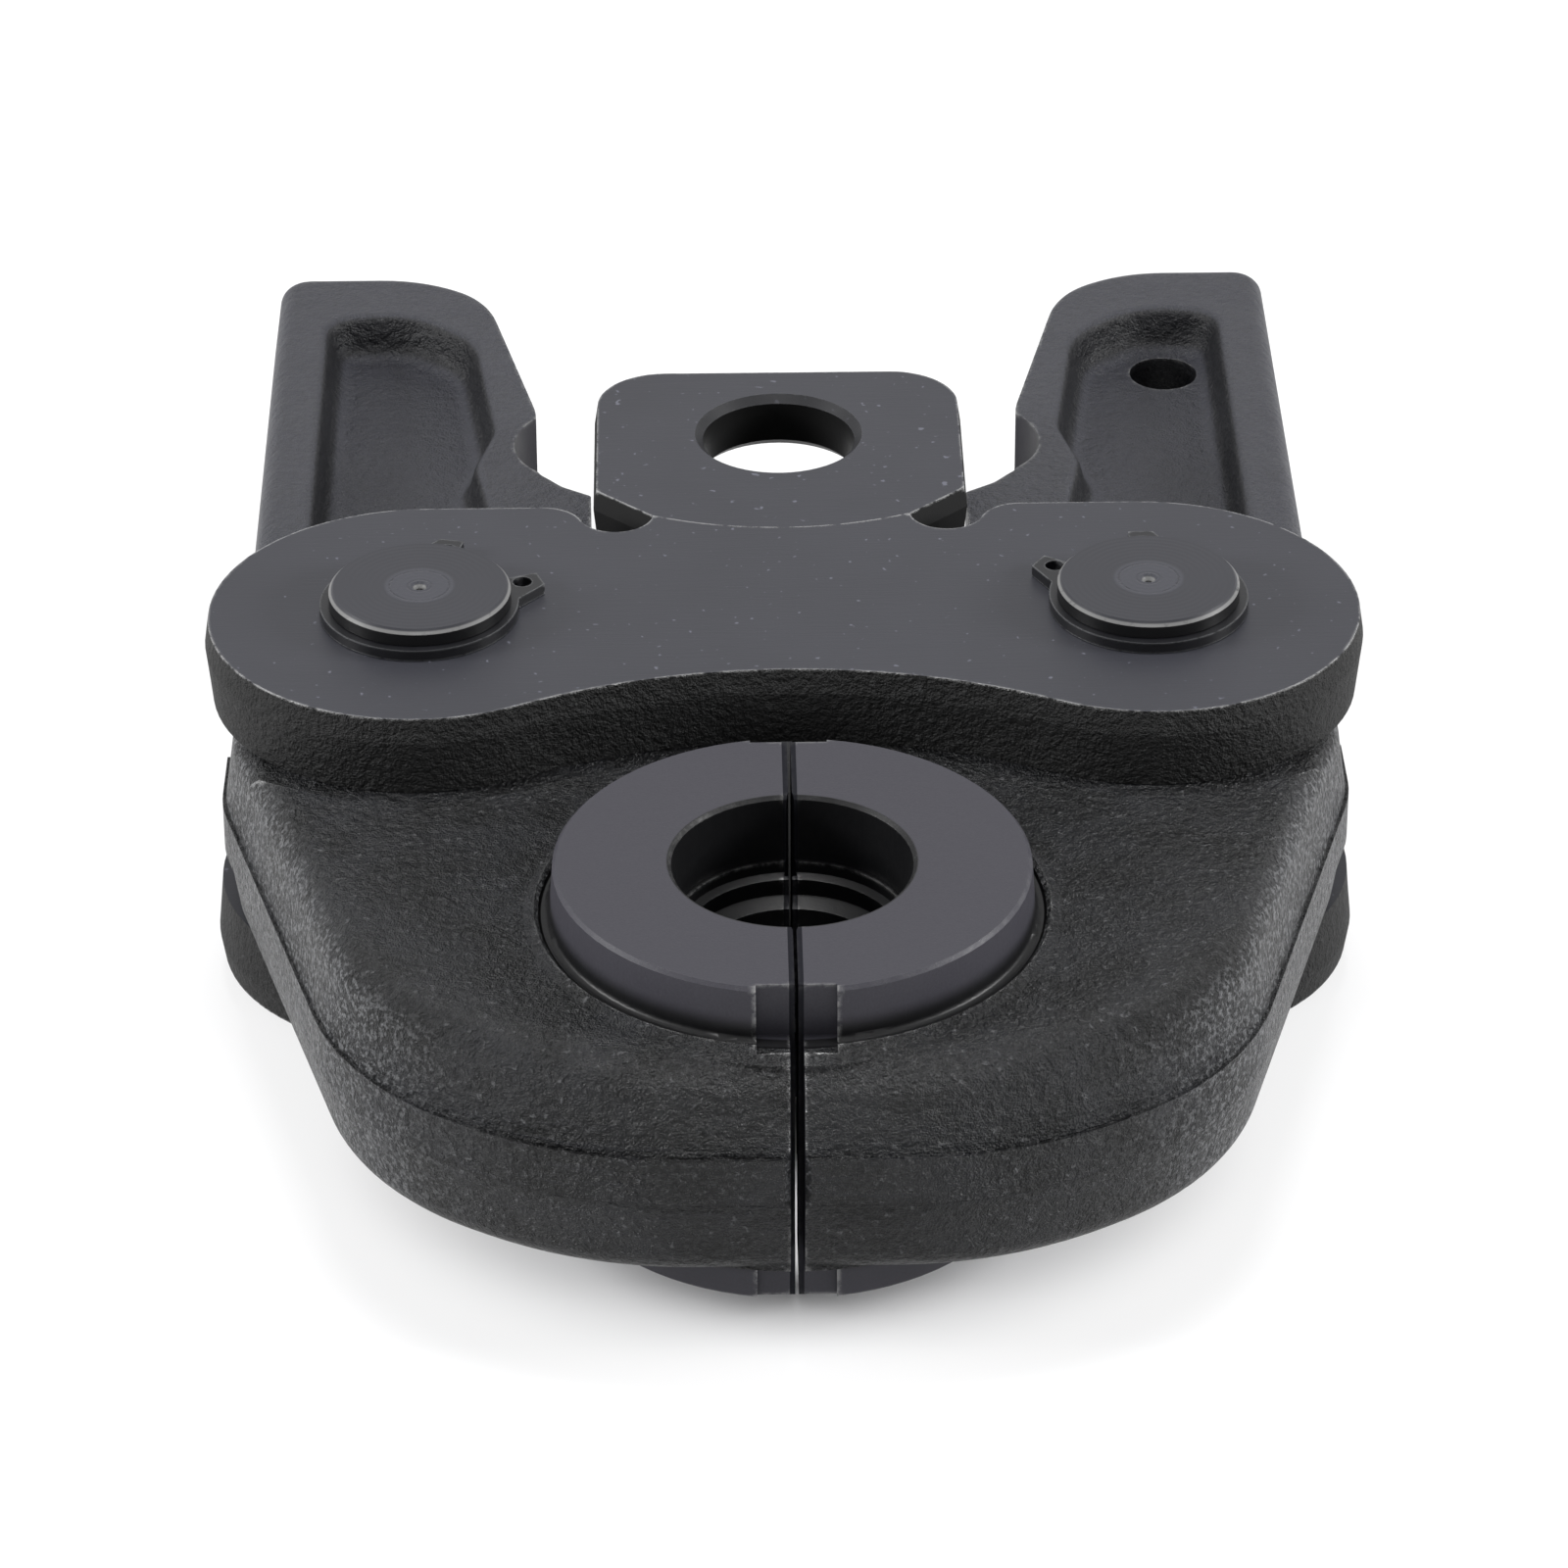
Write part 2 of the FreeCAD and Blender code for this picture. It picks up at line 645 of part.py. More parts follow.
def with_pockets(body):
    # The forging with both pockets and their rounded rims.
    pocket = tail_pocket()
    body = body.cut([pocket, mirrored_z(pocket)])
    edges = []
    for height in (-jaw_half, jaw_half):
        rim = at_height(rounded_wire(pocket_corners()), height)
        for edge in edges_at(body, height):
            middle = edge.valueAt((edge.FirstParameter + edge.LastParameter) / 2)
            if rim.distToShape(Part.Vertex(middle))[0] < level_tolerance:
                edges.append(edge)
    return body.makeFillet(pocket_rim_radius, edges)


def spring_seat():
    radius = spring_outer / 2 + spring_clearance
    y = pin_y + (seat_front_y + seat_rear_y) / 2
    return Part.makeCylinder(radius, seat_depth + over, V(seat_x - over, y, 0), V(1, 0, 0))


def jaw(with_hole):
    # The right jaw; the left one is its mirror image.
    body = with_pockets(forging()).fuse(die_boss())
    behind_middle = Part.makeBox(2 * far, 2 * far, 2 * far, V(-2 * far, -far, -far))
    body = body.cut(behind_middle)
    cuts = [die_bore(), split_cut(), inner_milling(), spring_seat()] + die_flats()
    cuts.append(Part.makeCylinder(pin_radius + pin_in_jaw_clearance, far, V(pin_x, pin_y, -far / 2)))
    notch = V(roller_notch_x, pin_y + roller_notch_y, -far / 2)
    cuts.append(Part.makeCylinder(roller_notch_radius, far, notch))
    if with_hole:
        cuts.append(Part.makeCylinder(tail_hole / 2, far, V(tail_hole_x, tail_end_y - tail_hole_y, -far / 2)))
    return body.cut(cuts)


def closing_spring():
    # Compression spring between the two jaws, wound from half turns that meet in line with each
    # other. The turns at both ends lie close to their neighbours.
    y = pin_y + (seat_front_y + seat_rear_y) / 2
    radius = (spring_outer - spring_wire) / 2
    length = 2 * (seat_x + seat_depth - spring_end_clearance) - spring_wire
    close = (spring_wire + spring_turn_gap) / 2
    wide = (length - 4 * close) / (2 * spring_turns - 4)
    steps = [close] * 2 + [wide] * (2 * spring_turns - 4) + [close] * 2
    start = V(-length / 2, y, radius)
    side = 1
    halves = []
    for step in steps:
        end = V(start.x + step, y, -start.z)
        middle = (start + end) / 2
        section = Part.Face(Part.Wire(Part.makeCircle(spring_wire / 2, start, V(0, side, 0))))
        axis = (start - middle).cross(V(0, side, 0))
        halves.append(section.revolve(middle, axis, half_turn))
        start = end
        side = -side
    return halves[0].fuse(halves[1:])


def build():
    plate = bearing_plate()
    pieces = {
        "left_jaw": mirrored_x(jaw(False)),
        "right_jaw": jaw(True),
        "upper_bearing_plate": plate,
        "lower_bearing_plate": mirrored_z(plate),
        "left_pivot_pin": pivot_pin(-pin_x),
        "right_pivot_pin": pivot_pin(pin_x),
        "closing_spring": closing_spring(),
    }
    for name, turn in circlip_turns.items():
        x = -pin_x if "left" in name else pin_x
        pieces[name] = circlip(x, name.startswith("lower"), turn)
    return pieces


os.makedirs("parts", exist_ok=True)
for name, shape in build().items():
    shape.exportStep(os.path.join("parts", name + ".step"))
    print(name, shape.isValid(), len(shape.Solids), round(shape.Volume / 1000, 3), "cm3")
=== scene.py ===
import json
import math

import bpy
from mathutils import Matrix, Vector

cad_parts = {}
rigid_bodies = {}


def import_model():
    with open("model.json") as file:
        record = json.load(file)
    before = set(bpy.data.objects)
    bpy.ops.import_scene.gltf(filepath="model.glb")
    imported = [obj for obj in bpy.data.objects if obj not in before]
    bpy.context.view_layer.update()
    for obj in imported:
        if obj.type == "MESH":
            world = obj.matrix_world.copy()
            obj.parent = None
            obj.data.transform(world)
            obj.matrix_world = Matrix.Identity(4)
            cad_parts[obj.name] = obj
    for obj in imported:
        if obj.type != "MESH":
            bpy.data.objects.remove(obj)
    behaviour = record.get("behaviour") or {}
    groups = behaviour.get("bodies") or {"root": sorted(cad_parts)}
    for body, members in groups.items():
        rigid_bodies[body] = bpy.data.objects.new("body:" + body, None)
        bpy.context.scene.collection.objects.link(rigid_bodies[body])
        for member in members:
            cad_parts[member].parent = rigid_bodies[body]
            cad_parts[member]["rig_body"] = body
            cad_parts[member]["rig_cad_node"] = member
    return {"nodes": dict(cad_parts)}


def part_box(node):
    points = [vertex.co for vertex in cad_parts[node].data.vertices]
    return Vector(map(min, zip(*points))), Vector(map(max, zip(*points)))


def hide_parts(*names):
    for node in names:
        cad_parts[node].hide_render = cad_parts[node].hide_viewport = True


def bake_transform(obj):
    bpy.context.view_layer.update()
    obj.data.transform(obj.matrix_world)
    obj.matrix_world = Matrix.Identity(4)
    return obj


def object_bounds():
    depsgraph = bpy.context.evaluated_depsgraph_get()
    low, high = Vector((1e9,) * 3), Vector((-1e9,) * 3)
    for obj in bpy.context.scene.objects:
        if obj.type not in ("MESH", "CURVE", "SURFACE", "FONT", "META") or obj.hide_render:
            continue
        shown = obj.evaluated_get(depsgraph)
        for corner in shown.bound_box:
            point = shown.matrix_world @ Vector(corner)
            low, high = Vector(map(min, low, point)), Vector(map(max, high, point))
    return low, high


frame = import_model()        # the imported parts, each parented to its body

mm = 0.001
cadLow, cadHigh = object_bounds()
nodes = frame["nodes"]
print("frame:", len(nodes), "parts")

# Places that the finishes follow, read from the frame
pinLow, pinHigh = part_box("right_pivot_pin")
pinX = (pinLow.x + pinHigh.x) / 2 / mm
pinY = (pinLow.y + pinHigh.y) / 2 / mm
pinRadius = (pinHigh.x - pinLow.x) / 2 / mm
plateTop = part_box("upper_bearing_plate")[1].z / mm
pinEnd = pinHigh.z / mm

layout = {
    "dieY": pinY - 39.5,         # centre of the pressing die, mm
    "bodyTop": 10.5,             # upper face of the forged front
    "ringFoot": 20.0,            # where the turned ring's wall ends
    "turnedRadius": 21.1,        # edge of the turned floor round it
    "boreRadius": 10.1,
    "faceHalf": 0.6,             # half the gap between the jaws' faces
    "flashHalf": 2.2,            # half height of the trimmed band
}
sides = (("left", -1), ("right", 1))


class Signal:
    # One socket in a node tree: maths on it adds Math nodes
    def __init__(self, tree, socket=None):
        self.tree = tree
        self.socket = socket

    def node(self, kind, settings=None, sockets=None, out=0):
        made = self.tree.nodes.new(kind)
        for key, value in (settings or {}).items():
            setattr(made, key, value)
        for key, value in (sockets or {}).items():
            if isinstance(value, Signal):
                self.tree.links.new(value.socket, made.inputs[key])
            else:
                made.inputs[key].default_value = value
        return Signal(self.tree, made.outputs[out] if made.outputs else None)

    def maths(self, operation, *values):
        return self.node("ShaderNodeMath", {"operation": operation}, dict(enumerate(values)))

    def __add__(self, other):
        return self.maths("ADD", self, other)

    def __radd__(self, other):
        return self.maths("ADD", other, self)

    def __sub__(self, other):
        return self.maths("SUBTRACT", self, other)

    def __rsub__(self, other):
        return self.maths("SUBTRACT", other, self)

    def __mul__(self, other):
        return self.maths("MULTIPLY", self, other)

    def __rmul__(self, other):
        return self.maths("MULTIPLY", other, self)

    def __truediv__(self, other):
        return self.maths("DIVIDE", self, other)

    def __pow__(self, other):
        return self.maths("POWER", self, other)

    def __abs__(self):
        return self.maths("ABSOLUTE", self)


def ramped(value, low, high):    # 0 at low and 1 at high, either of which may be the larger
    return value.node("ShaderNodeMapRange", {"interpolation_type": "SMOOTHSTEP"},
                      {"Value": value, "From Min": low, "From Max": high})


def mixed(share, first, second):     # colours
    return share.node("ShaderNodeMix", {"data_type": "RGBA"}, {0: share, 6: first, 7: second}, out=2)


def larger(first, second):
    return first.maths("MAXIMUM", first, second)


# Tints that a grey level is multiplied by
bluish = (0.93, 0.95, 1.18)
plain = (0.97, 0.99, 1.03)
violet = (0.96, 0.93, 1.16)
cold = (0.95, 1.0, 1.12)
dusty = (0.92, 0.96, 1.12)
bare = (1, 1, 1)


def grey(level, tint=bluish):
    return (level * tint[0], level * tint[1], level * tint[2], 1)


def startMaterial(name):
    material = bpy.data.materials.new(name)
    material.use_nodes = True
    material.node_tree.nodes.clear()
    start = Signal(material.node_tree)
    place = start.node("ShaderNodeTexCoord", out=3)
    inMm = start.node("ShaderNodeVectorMath", {"operation": "SCALE"}, {0: place, "Scale": 1 / mm})
    return material, start, inMm


# A dull dark face: painted shade in the gap between the jaws
gapShadeFace = {
    "level": 0.010,
    "roughness": 0.9,
}


def finishMaterial(start, base, roughness, metallic, height, specular, gapShadeShare=None):
    bump = start.node("ShaderNodeBump", None, {"Strength": 1.0, "Distance": mm, "Height": height})
    shader = start.node("ShaderNodeBsdfPrincipled", None, {
        "Base Color": base, "Roughness": roughness, "Metallic": metallic,
        "Specular IOR Level": specular, "Normal": bump})
    if gapShadeShare:                         # share of the surface that gets a dull dark face: painted shade in the gap between the jaws, with no gloss
        gapShader = start.node("ShaderNodeBsdfPrincipled", None, {
            "Base Color": grey(gapShadeFace["level"]), "Roughness": gapShadeFace["roughness"],
            "Specular IOR Level": 0.0})
        shader = start.node("ShaderNodeMixShader", None, {0: gapShadeShare, 1: shader, 2: gapShader})
    start.node("ShaderNodeOutputMaterial", None, {"Surface": shader})


def noise(at, scale, detail=2.0, rough=0.5, distortion=0.0):
    return at.node("ShaderNodeTexNoise", None, {
        "Vector": at, "Scale": scale, "Detail": detail, "Roughness": rough, "Distortion": distortion})


def stretched(at, scale):
    return at.node("ShaderNodeMapping", None, {"Vector": at, "Scale": scale})


def split(at):
    parts = at.node("ShaderNodeSeparateXYZ", None, {"Vector": at})
    made = parts.socket.node
    return [Signal(at.tree, made.outputs[i]) for i in range(3)]


def radiusFrom(x, y, centreX, centreY):
    return ((x - centreX) ** 2 + (y - centreY) ** 2) ** 0.5


def edgeWearAndGlint(start, reach, sharp):
    # Convex edges, found by how soon a ray into the metal leaves it again; they get wear and a painted
    # highlight
    inside = start.node("ShaderNodeAmbientOcclusion", {"inside": True, "only_local": True, "samples": 4},
                        {"Distance": reach * mm}, out=1)
    return ramped(1 - inside, sharp[0], sharp[1])


forged = {
    "grain": 1.6,                # lumps of the shot-blasted skin, per mm
    "grainHeight": 0.85,         # mm
    "finer": 3.1,                # the fine grain, times the lumps
    "pits": 0.9,                 # per mm
    "glintSpeckle": 2.3,              # painted glints on it, per mm
    "wave": 0.11,                # slow unevenness of the hammered faces, per mm
    "waveHeight": 0.9,           # mm
    "cloud": 0.16,               # patches of scale, per mm
    "marks": 0.009,              # height of the milling marks, mm
    "brushed": (3.5, 3.5, 0.12),         # milling marks along z, per mm
    "streaks": (0.16, 0.16, 1.9),        # trimming marks along the band, per mm
    "streakHeight": 0.35,        # mm
    "streakTop": 4.5,            # half height of the zone that has them, mm
    "ragged": 0.45,              # breaks in the seam, per mm
    "wander": 1.1,               # how far the seam strays, mm
    "seamDepth": 0.10,           # mm
    "wearAndGlintReach": 0.7,            # width of the worn edges, partly wear and partly painted highlight, mm
    "innerX": 33.0,              # the tails' milled inner faces end here, mm
    "innerY": 16.0,              # and start here, behind the pins
    "pocketX": 36.0,             # middle of the tails' pockets, mm
    "pocketY": 50.0,             # behind the pins
    "black": 0.002,              # grey levels from here on
    "scale": 0.03,
    # The next three levels are painted glints
    "glintSpeck": 0.018,
    "sideGlintSpeck": 0.13,           # painted glints on faces that look left or right
    "peak": 0.11,
    "tail": 0.028,
    "streak": 0.014,
    "milled": 0.031,
    "wornAndGlinting": 0.20,
}


def forgedSteel():
    material, start, at = startMaterial("forgedSteel")
    x, y, z = split(at)
    nx, ny, nz = split(start.node("ShaderNodeNewGeometry", out=1))
    across = abs(x)
    up = abs(z)
    outwards = nx * x / across
    fromDie = radiusFrom(x, y, 0, layout["dieY"])
    tail = ramped(y, pinY - 6, pinY + 6)

    # What was machined after forging
    turned = ramped(fromDie, layout["turnedRadius"] + 0.15, layout["turnedRadius"] - 0.1)
    turned = turned * ramped(up, layout["bodyTop"] - 0.3, layout["bodyTop"] - 0.1)
    bore = ramped(fromDie, layout["boreRadius"] + 0.45, layout["boreRadius"] + 0.3)
    faced = ramped(across, layout["faceHalf"] + 0.02, layout["faceHalf"] - 0.02)
    inward = ramped(outwards, -0.25, -0.5) * ramped(abs(nz), 0.3, 0.15)
    inward = inward * ramped(across, forged["innerX"] + 3, forged["innerX"])
    inward = inward * ramped(y, pinY + forged["innerY"] - 4, pinY + forged["innerY"])
    machined = larger(larger(larger(turned, bore), faced), inward)
    rough = 1 - machined

    lumps = noise(at, forged["grain"], 3.0, 0.62)
    fine = noise(at, forged["grain"] * forged["finer"], 2.0, 0.6)
    pits = at.node("ShaderNodeTexVoronoi", {"feature": "SMOOTH_F1"},
                   {"Vector": at, "Scale": forged["pits"], "Smoothness": 0.6})
    waves = noise(at, forged["wave"], 2.0, 0.45)
    cloud = noise(at, forged["cloud"], 3.0, 0.6)

    grainHeight = (lumps * 0.8 + fine * 0.4 + pits * 0.35) * forged["grainHeight"]
    grainHeight = grainHeight * (1 - tail * 0.62)
    height = rough * (grainHeight + waves * forged["waveHeight"])
    brushed = noise(stretched(at, forged["brushed"]), 1.0, 2.0, 0.6)
    height = height + machined * (brushed + fine) * forged["marks"]

    # The trimmed band's ragged edge
    ragged = noise(at, forged["ragged"], 3.0, 0.65)
    trim = abs(up - layout["flashHalf"] + (ragged - 0.5) * forged["wander"])
    seam = ramped(trim, 0.22, 0.04) * rough * ramped(waves, 0.46, 0.6)
    height = height - seam * forged["seamDepth"]

    # Streaks that the trimming left along the band
    trimmed = ramped(up, forged["streakTop"] + 2, forged["streakTop"]) * rough * (1 - tail)
    streaks = noise(stretched(at, forged["streaks"]), 1.0, 3.0, 0.65)
    height = height + trimmed * streaks * forged["streakHeight"]
    streak = trimmed * ramped(streaks, 0.54, 0.66)

    band = ramped(abs(up - layout["flashHalf"]), 0.7, 0.4) * rough
    patchy = ramped(noise(at, 0.9, 3.0, 0.7), 0.38, 0.6)
    # Worn edges: partly wear, partly a painted highlight along them
    wornAndGlinting = edgeWearAndGlint(start, forged["wearAndGlintReach"], (0.32, 0.55)) * patchy * (1 - band)
    # Painted glints: lighter lumps' peaks and specks, brighter on faces that look left or right
    peaks = ramped(lumps, 0.6, 0.72) * rough * (1 - tail)
    glintSpeckle = ramped(noise(at, forged["glintSpeckle"], 2.0, 0.6), 0.47, 0.64) * rough * (1 - tail * 0.6)
    sideGlints = ramped(abs(nx), 0.45, 0.9) * (1 - tail)

    skin = mixed(tail, grey(forged["black"], cold), grey(forged["tail"]))
    skin = mixed(ramped(cloud, 0.35, 0.7) * 0.35, skin, grey(forged["scale"], dusty))
    # Painted glints
    glintColour = mixed(sideGlints, grey(forged["glintSpeck"], plain), grey(forged["sideGlintSpeck"], plain))
    skin = mixed(glintSpeckle * 0.8, skin, glintColour)
    skin = mixed(peaks * 0.6, skin, grey(forged["peak"], plain))
    # Painted shade: the pockets' walls, which face the pocket's middle, are made black
    facing = outwards * (forged["pocketX"] - across) + ny * (pinY + forged["pocketY"] - y)
    pocketShade = ramped(facing, 1.0, 4.0) * ramped(abs(nz), 0.93, 0.6) * tail * rough
    skin = mixed(pocketShade * 0.85, skin, grey(forged["black"]))
    skin = mixed(seam * 0.7, skin, grey(forged["black"]))
    skin = mixed(streak * 0.5, skin, grey(forged["streak"]))
    milled = mixed(fine, grey(forged["milled"] * 0.75, violet), grey(forged["milled"] * 1.2, violet))
    skin = mixed(machined, skin, milled)
    # Painted shade in the corner at the ring's foot, and in the bore
    footShade = ramped(up, layout["bodyTop"] + 2.4, layout["bodyTop"] + 0.8)
    footShade = footShade * turned * ramped(fromDie, layout["ringFoot"] - 0.2, layout["ringFoot"])
    skin = mixed(larger(footShade, bore), skin, grey(forged["black"]))
    skin = mixed(wornAndGlinting, skin, grey(forged["wornAndGlinting"], bare))

    gloss = 0.30 + lumps * 0.14 + (machined + tail * rough) * 0.07 - wornAndGlinting * 0.08
    finishMaterial(start, skin, gloss, wornAndGlinting * 0.7, height, 0.22, gapShadeShare=faced * 0.9)
    return material


ground = {
    "grain": 1.5,                # lumps of the rough edges, per mm
    "grainHeight": 0.62,         # mm
    "waveHeight": 0.7,
    "scratches": (0.25, 3.0, 1.0),       # grinding marks from left to right, per mm
    "boredTo": 8.3,              # the tool bore and its broken corner, mm from the axis
    "nookX": 14.8,               # relief notches beside the tab, mm
    "nookY": -15.3,
    "nookHalf": (4.0, 4.9),
    "wearAndGlintReach": 0.55,           # width of the worn edges, partly wear and partly painted highlight, mm
    "wearAndGlintDepth": 0.8,            # they lie this near the outer faces, mm
    "face": 0.026,               # grey levels from here on
    "side": 0.001,
    "glintSpeck": 0.13,
    "wornAndGlinting": 0.42,
}


def plateSteel():
    material, start, at = startMaterial("plateSteel")
    x, y, z = split(at)
    nx, ny, nz = split(start.node("ShaderNodeNewGeometry", out=1))
    upright = ramped(abs(nz), 0.9, 0.6)
    bored = ramped(radiusFrom(x, y, 0, 0), ground["boredTo"] + 0.3, ground["boredTo"])
    halfX, halfY = ground["nookHalf"]
    nooks = ramped(abs(abs(x) - ground["nookX"]), halfX + 0.8, halfX)
    nooks = nooks * ramped(abs(y - ground["nookY"]), halfY + 0.7, halfY)
    cast = upright * (1 - larger(bored, nooks))

    lumps = noise(at, ground["grain"], 3.0, 0.6)
    fine = noise(at, ground["grain"] * 3, 2.0, 0.6)
    waves = noise(at, 0.14, 2.0, 0.5)
    scratch = noise(stretched(at, ground["scratches"]), 1.0, 3.0, 0.65)
    glintSpecks = ramped(noise(at, 1.3, 1.0, 0.5), 0.71, 0.78)

    grain = (lumps * 0.9 + fine * 0.4) * ground["grainHeight"] + waves * ground["waveHeight"]
    height = cast * grain + (1 - cast) * (scratch * 0.010 + fine * 0.006)

    # Worn edges near the outer faces: partly wear, partly a painted highlight
    wornAndGlinting = edgeWearAndGlint(start, ground["wearAndGlintReach"], (0.3, 0.5)) * ramped(noise(at, 0.7, 3.0, 0.7), 0.36, 0.56)
    wearAndGlintTop = plateTop - ground["wearAndGlintDepth"]
    wornAndGlinting = wornAndGlinting * ramped(abs(z), wearAndGlintTop - 0.8, wearAndGlintTop)
    face = mixed(noise(at, 0.06, 3.0, 0.6), grey(ground["face"] * 0.8), grey(ground["face"] * 1.2))
    face = mixed(ramped(fine, 0.35, 0.7), mixed(0.5 * fine, face, grey(0.012)), face)
    # Painted glints on the ground face
    face = mixed(glintSpecks * 0.6, face, grey(ground["glintSpeck"]))
    skin = mixed(upright, face, grey(ground["side"], plain))
    # Painted shade on the relief notches' walls
    skin = mixed(upright * nooks, skin, grey(ground["side"] / 2))
    skin = mixed(cast * ramped(noise(at, 2.3, 2.0, 0.6), 0.5, 0.66) * 0.7, skin, grey(0.007, plain))
    # Painted glints on the lumps' peaks
    skin = mixed(cast * ramped(lumps, 0.62, 0.72) * 0.4, skin, grey(0.05, plain))
    skin = mixed(wornAndGlinting, skin, grey(ground["wornAndGlinting"], bare))

    gloss = 0.40 + fine * 0.05 + cast * 0.22 + upright * nooks * 0.3 - wornAndGlinting * 0.06
    finishMaterial(start, skin, gloss, wornAndGlinting * 0.7, height, 0.26)
    return material


pinEnds = {
    "grooves": 11.0,             # turned rings, radians per mm
    "grooveHeight": 0.0022,      # mm
    "chatter": 1.1,              # their unevenness, per mm
    "outer": 0.33,               # rings round the lathe's centre mark, shares of the pin's radius
    "inner": 0.13,
    "mark": 0.36,                # edge of the mark
    "face": 0.020,               # grey levels from here on
    "side": 0.002,
    "outerLevel": 0.006,
    "innerLevel": 0.008,
    "markLevel": 0.07,
    "wornAndGlinting": 0.14,
}


def pinSteel(name, centreX):
    material, start, at = startMaterial(name)
    x, y, z = split(at)
    fromAxis = radiusFrom(x, y, centreX, pinY)
    end = ramped(abs(z), pinEnd - 0.3, pinEnd - 0.1)
    rim = ramped(abs(z), pinEnd - 0.46, pinEnd - 0.4) * ramped(abs(z), pinEnd - 0.12, pinEnd - 0.24)
    chatter = noise(at, pinEnds["chatter"], 3.0, 0.7)
    wobble = fromAxis + (chatter - 0.5) * 0.25
    rings = start.maths("SINE", wobble * pinEnds["grooves"]) * pinEnds["grooveHeight"]
    outer = ramped(abs(wobble - pinRadius * pinEnds["outer"]), 0.16, 0.02) * ramped(chatter, 0.35, 0.55)
    inner = ramped(abs(wobble - pinRadius * pinEnds["inner"]), 0.16, 0.02)
    near = ramped(fromAxis, pinRadius * (pinEnds["mark"] + 0.04), pinRadius * pinEnds["mark"])
    height = end * (rings + near * noise(at, 3.0, 2.0, 0.6) * 0.02 - outer * 0.035 - inner * 0.02)

    # Bright rim on the chamfer: partly wear, partly a painted highlight
    wornAndGlinting = rim * ramped(noise(at, 0.8, 3.0, 0.7), 0.2, 0.45)
    skin = mixed(noise(at, 0.09, 3.0, 0.6), grey(pinEnds["face"] * 0.85), grey(pinEnds["face"] * 1.15))
    skin = mixed(end * outer * 0.9, skin, grey(pinEnds["outerLevel"]))
    skin = mixed(end * inner * 0.6, skin, grey(pinEnds["innerLevel"]))
    skin = mixed(end * near * 0.25, skin, grey(pinEnds["markLevel"]))
    skin = mixed(1 - end, skin, grey(pinEnds["side"]))
    skin = mixed(wornAndGlinting, skin, grey(pinEnds["wornAndGlinting"], bare))
    finishMaterial(start, skin, 0.40 - wornAndGlinting * 0.08, wornAndGlinting * 0.3, height, 0.26)
    return material


hardened = {
    "clips": 0.004,              # grey levels of the circlips, the wire and their worn edges, which are partly painted highlight
    "wire": 0.02,
    "wornAndGlinting": 0.14,
    "wearAndGlintReach": 0.35,           # width of the worn edges, partly wear and partly painted highlight, mm
    "drawHeight": 0.008,         # unevenness from drawing the wire, mm
}


def springSteel(name, black):
    material, start, at = startMaterial(name)
    cloud = noise(at, 0.6, 3.0, 0.6)
    draw = noise(stretched(at, (2.0, 2.0, 2.0)), 1.0, 2.0, 0.5)
    # Worn edges: partly wear, partly a painted highlight
    wornAndGlinting = edgeWearAndGlint(start, hardened["wearAndGlintReach"], (0.25, 0.45)) * ramped(noise(at, 0.9, 3.0, 0.7), 0.3, 0.5)
    skin = mixed(cloud, grey(black), grey(black * 1.8))
    skin = mixed(wornAndGlinting, skin, grey(hardened["wornAndGlinting"], plain))
    finishMaterial(start, skin, 0.32 + cloud * 0.12, wornAndGlinting * 0.7, draw * hardened["drawHeight"], 0.3)
    return material


def dress(name, material):
    for slot in nodes[name].material_slots:
        slot.material = material


print("finishes")
forgedFinish = forgedSteel()
plateFinish = plateSteel()
clipFinish = springSteel("clipSteel", hardened["clips"])
for name in ("left_jaw", "right_jaw"):
    dress(name, forgedFinish)
for name in ("upper_bearing_plate", "lower_bearing_plate"):
    dress(name, plateFinish)
for side, sign in sides:
    dress(side + "_pivot_pin", pinSteel(side + "PinSteel", sign * pinX))
for name in nodes:
    if name.endswith("circlip"):
        dress(name, clipFinish)


springLow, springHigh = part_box("closing_spring")
spring = {
    "middle": (springLow.y + springHigh.y) / 2,  # its axis
    "seat": 0.0115,              # the jaws' faces at the spring's seats, from the middle
    "crease": math.radians(35),  # sharper edges than this stay sharp
    "merge": 1e-6,               # corners nearer than this become one
}


def deselectAll():
    if bpy.context.object and bpy.context.object.mode != "OBJECT":
        bpy.ops.object.mode_set(mode="OBJECT")
    bpy.ops.object.select_all(action="DESELECT")


def springHalf(side, sign, material):
    # Half of the closing spring, on its own jaw's side of the middle
    source = nodes["closing_spring"]
    half = source.copy()
    half.data = source.data.copy()
    half.parent = None
    half.name = side + "_spring_half"
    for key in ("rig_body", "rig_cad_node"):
        del half[key]
    bpy.context.scene.collection.objects.link(half)
    deselectAll()
    half.select_set(True)
    bpy.context.view_layer.objects.active = half
    bpy.ops.object.mode_set(mode="EDIT")
    bpy.ops.mesh.select_all(action="SELECT")
    bpy.ops.mesh.remove_doubles(threshold=spring["merge"])
    bpy.ops.mesh.select_all(action="SELECT")
    bpy.ops.mesh.bisect(plane_co=(0, 0, 0), plane_no=(sign, 0, 0), use_fill=True, clear_inner=True)
    bpy.ops.object.mode_set(mode="OBJECT")
    bpy.ops.object.shade_smooth_by_angle(angle=spring["crease"])
    half.data.materials.clear()
    half.data.materials.append(material)
    return half


print("closing spring")
wireFinish = springSteel("wireSteel", hardened["wire"])
springHalves = {side: springHalf(side, sign, wireFinish) for side, sign in sides}
for side, sign in sides:
    half = springHalves[side]
    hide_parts("closing_spring")
    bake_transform(half)


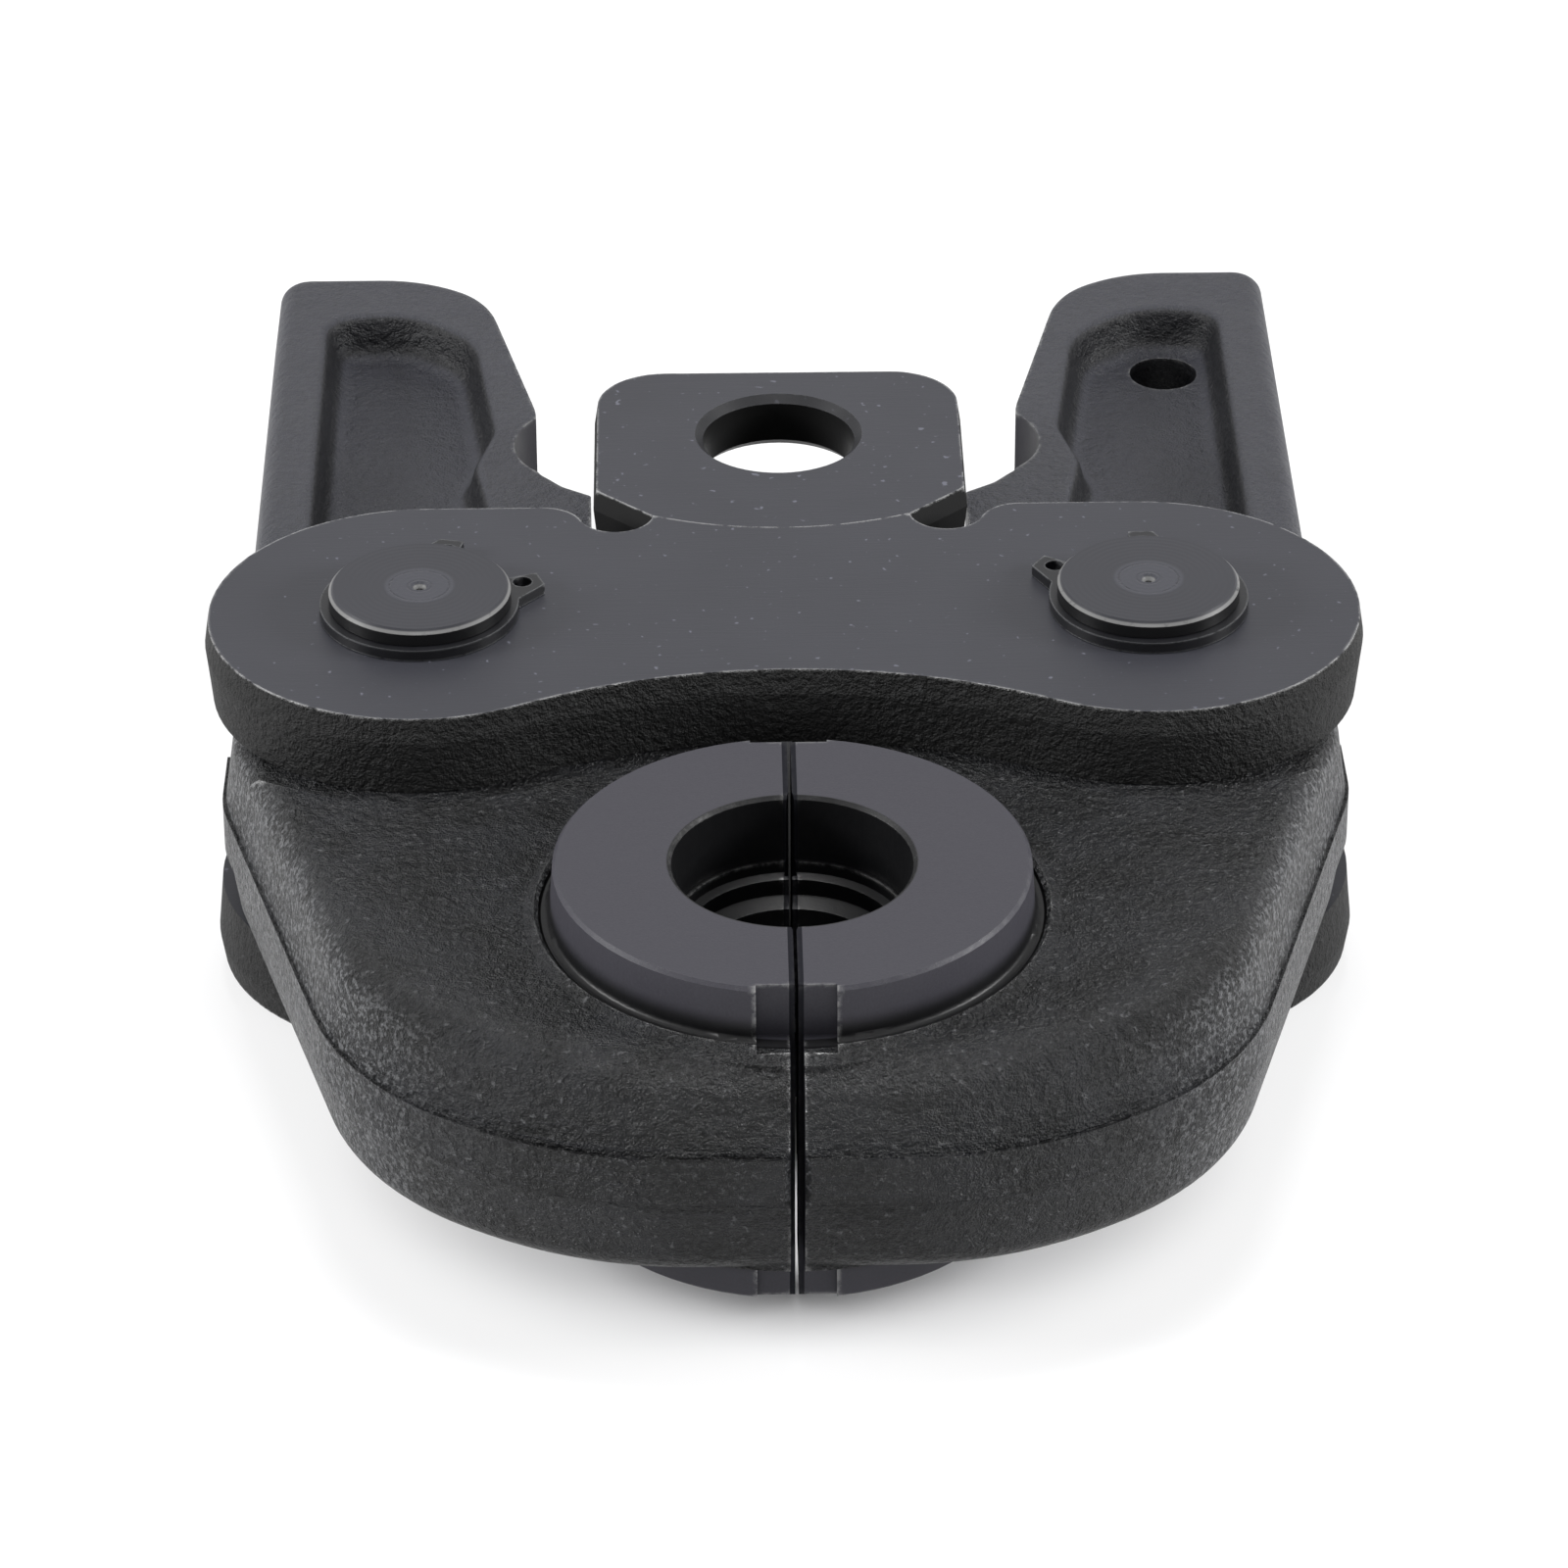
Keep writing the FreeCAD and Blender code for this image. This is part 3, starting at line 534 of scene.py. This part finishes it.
studio = {
    "floorSize": 6.0,            # metres, as all that follows
    "floorGap": 0.00002,         # keeps the floor clear of the pins' ends
    "floorColour": (0.86, 0.86, 0.87, 1),
    "floorGlow": 0.72,           # share of plain white that the camera sees in the floor
    "shade": ((0.0, -0.062), (0.042, 0.036)),    # middle and reach of the darker floor below the die
    "shadeCore": 0.62,           # share of that reach that is darkest
    "worldLight": 0.27,
    "lamps": [                   # place and aim in metres, size, watts
        ((0.0, 0.06, 0.90), (0, -0.06, 0), 0.24, 6.0),
        ((-0.80, -0.10, 0.30), (0, -0.05, 0), 0.22, 9.0),
        ((0.80, -0.10, 0.30), (0, -0.05, 0), 0.22, 9.0),
        ((0.0, -0.75, 0.75), (0, -0.06, 0), 0.30, 1.5),
    ],
}


def seenWhite(start):
    # 1 for what the camera, a gloss or a clear body looks at, 0 for light that falls on things
    path = start.node("ShaderNodeLightPath")
    outputs = path.socket.node.outputs
    seen = Signal(start.tree, outputs["Is Camera Ray"])
    for name in ("Is Glossy Ray", "Is Transmission Ray"):
        seen = larger(seen, Signal(start.tree, outputs[name]))
    return seen


def addFloor():
    deselectAll()
    bpy.ops.mesh.primitive_plane_add(size=studio["floorSize"], location=(0, 0, cadLow.z - studio["floorGap"]))
    floor = bpy.context.object
    floor.name = "floor"
    material = bpy.data.materials.new("paleFloor")
    material.use_nodes = True
    material.node_tree.nodes.clear()
    start = Signal(material.node_tree)
    lit = start.node("ShaderNodeBsdfDiffuse", None, {"Color": studio["floorColour"]})
    white = start.node("ShaderNodeEmission", None, {"Color": (1, 1, 1, 1), "Strength": 1.0})
    x, y, z = split(start.node("ShaderNodeTexCoord", out=3))
    (middleX, middleY), (reachX, reachY) = studio["shade"]
    below = (((x - middleX) / reachX) ** 2 + ((y - middleY) / reachY) ** 2) ** 0.5
    share = seenWhite(start) * ramped(below, studio["shadeCore"], 1.0) * studio["floorGlow"]
    surface = start.node("ShaderNodeMixShader", None, {0: share, 1: lit, 2: white})
    start.node("ShaderNodeOutputMaterial", None, {"Surface": surface})
    floor.data.materials.append(material)


def addWorld():
    world = bpy.data.worlds.new("studioWorld")
    bpy.context.scene.world = world
    world.use_nodes = True
    world.node_tree.nodes.clear()
    start = Signal(world.node_tree)
    strength = studio["worldLight"] + seenWhite(start) * (1 - studio["worldLight"])
    back = start.node("ShaderNodeBackground", None, {"Color": (1, 1, 1, 1), "Strength": strength})
    start.node("ShaderNodeOutputWorld", None, {"Surface": back})


def addLamps():
    for number, (place, aim, size, watts) in enumerate(studio["lamps"]):
        lamp = bpy.data.lights.new("softbox%d" % number, "AREA")
        lamp.shape = "SQUARE"
        lamp.size = size
        lamp.energy = watts
        box = bpy.data.objects.new(lamp.name, lamp)
        bpy.context.scene.collection.objects.link(box)
        box.location = place
        box.rotation_euler = (Vector(aim) - Vector(place)).to_track_quat("-Z", "Y").to_euler()


view = {
    "place": (-0.00780274, -0.55419357, 0.31437718),     # metres
    "turn": (58.79494813, 0.16078567, -0.94620132),      # degrees
    "lens": 156.547,             # mm
    "sensor": 36.0,              # mm
    "clip": (0.01, 50),          # metres
}


def addCamera():
    lens = bpy.data.cameras.new("camera")
    lens.sensor_width = view["sensor"]
    lens.lens = view["lens"]
    lens.clip_start, lens.clip_end = view["clip"]
    camera = bpy.data.objects.new("camera", lens)
    bpy.context.scene.collection.objects.link(camera)
    camera.location = view["place"]
    camera.rotation_euler = [math.radians(turn) for turn in view["turn"]]
    bpy.context.scene.camera = camera


print("studio")
bpy.context.scene.view_settings.view_transform = "Standard"
addFloor()
addWorld()
addLamps()
addCamera()
